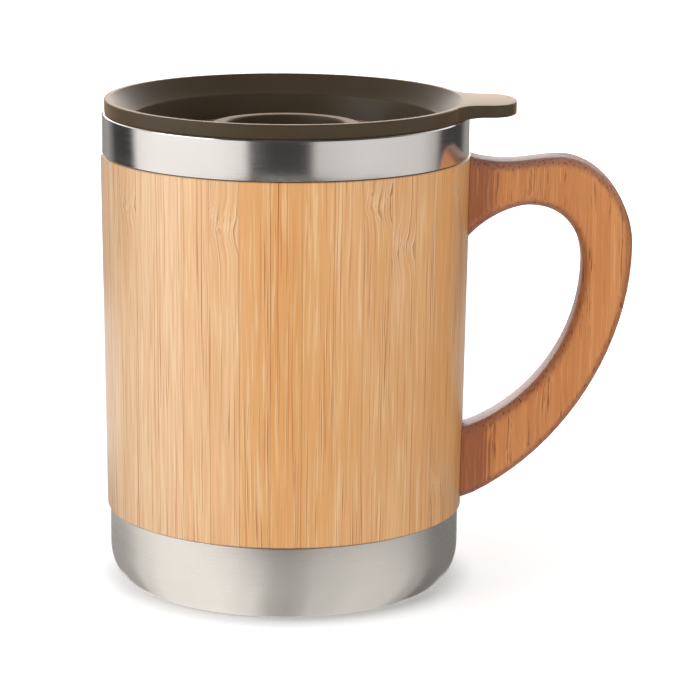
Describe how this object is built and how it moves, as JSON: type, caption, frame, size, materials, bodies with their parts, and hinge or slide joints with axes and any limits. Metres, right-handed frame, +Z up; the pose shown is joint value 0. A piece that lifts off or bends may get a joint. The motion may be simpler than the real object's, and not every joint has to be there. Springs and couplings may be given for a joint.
{
  "type": "lidded mug",
  "caption": "Lidded double-wall mug: steel cup and shell in a bamboo stave sleeve, with a bamboo handle and a press-in lid with thumb tab and twist closure.",
  "frame": {"origin": "centre of the flat underside of the base, on the mug's axis", "axes": "+Z up along the mug's axis, +X towards the handle and the lid's thumb tab, -Y towards the sip hole"},
  "size_m": [0.1222, 0.0846, 0.1126],
  "materials": {
    "polished_steel": "polished stainless steel with fine hoop brushing",
    "satin_steel": "satin stainless steel",
    "inner_steel": "brushed stainless steel",
    "screw_steel": "zinc plated",
    "bamboo_sleeve": "clear lacquered natural bamboo",
    "bamboo_handle": "lacquered carbonised bamboo",
    "lid_plastic": "satin moulded polypropylene",
    "silicone": "translucent silicone"
  },
  "bodies": {
    "cup": {"inner_cup": "inner_steel", "outer_shell": "polished_steel", "shell_bottom": "satin_steel", "base_cup": "satin_steel", "sleeve_stave_01": "bamboo_sleeve", "sleeve_stave_02": "bamboo_sleeve", "sleeve_stave_03": "bamboo_sleeve", "sleeve_stave_04": "bamboo_sleeve", "sleeve_stave_05": "bamboo_sleeve", "sleeve_stave_06": "bamboo_sleeve", "sleeve_stave_07": "bamboo_sleeve", "sleeve_stave_08": "bamboo_sleeve", "sleeve_stave_09": "bamboo_sleeve", "sleeve_stave_10": "bamboo_sleeve", "sleeve_stave_11": "bamboo_sleeve", "sleeve_stave_12": "bamboo_sleeve", "sleeve_stave_13": "bamboo_sleeve", "sleeve_stave_14": "bamboo_sleeve", "sleeve_stave_15": "bamboo_sleeve", "sleeve_stave_16": "bamboo_sleeve", "sleeve_stave_17": "bamboo_sleeve", "sleeve_stave_18": "bamboo_sleeve", "sleeve_stave_19": "bamboo_sleeve", "sleeve_stave_20": "bamboo_sleeve", "sleeve_stave_21": "bamboo_sleeve", "sleeve_stave_22": "bamboo_sleeve", "sleeve_stave_23": "bamboo_sleeve", "sleeve_stave_24": "bamboo_sleeve", "sleeve_stave_25": "bamboo_sleeve", "sleeve_stave_26": "bamboo_sleeve", "sleeve_stave_27": "bamboo_sleeve", "sleeve_stave_28": "bamboo_sleeve", "sleeve_stave_29": "bamboo_sleeve", "sleeve_stave_30": "bamboo_sleeve", "sleeve_stave_31": "bamboo_sleeve", "sleeve_stave_32": "bamboo_sleeve", "sleeve_stave_33": "bamboo_sleeve", "sleeve_stave_34": "bamboo_sleeve", "sleeve_stave_35": "bamboo_sleeve", "sleeve_stave_36": "bamboo_sleeve", "sleeve_stave_37": "bamboo_sleeve", "sleeve_stave_38": "bamboo_sleeve", "handle": "bamboo_handle", "handle_screw_upper": "screw_steel", "handle_screw_lower": "screw_steel"},
    "lid_seal": {"lid_gasket": "silicone"},
    "lid": {"lid_body": "lid_plastic"},
    "closure": {"closure_disc": "lid_plastic"}
  },
  "joints": [
    {"name": "lid_lift", "type": "slide", "parent": "cup", "child": "lid_seal", "axis": [0, 0, 1], "range_m": [0, 0.085]},
    {"name": "lid_turn", "type": "hinge", "parent": "lid_seal", "child": "lid", "pos_m": [0, 0, 0.1095], "axis": [0, 0, 1], "continuous": true},
    {"name": "closure_turn", "type": "hinge", "parent": "lid", "child": "closure", "pos_m": [0, 0, 0.1017], "axis": [0, 0, 1], "range_deg": [0, 90]}
  ]
}
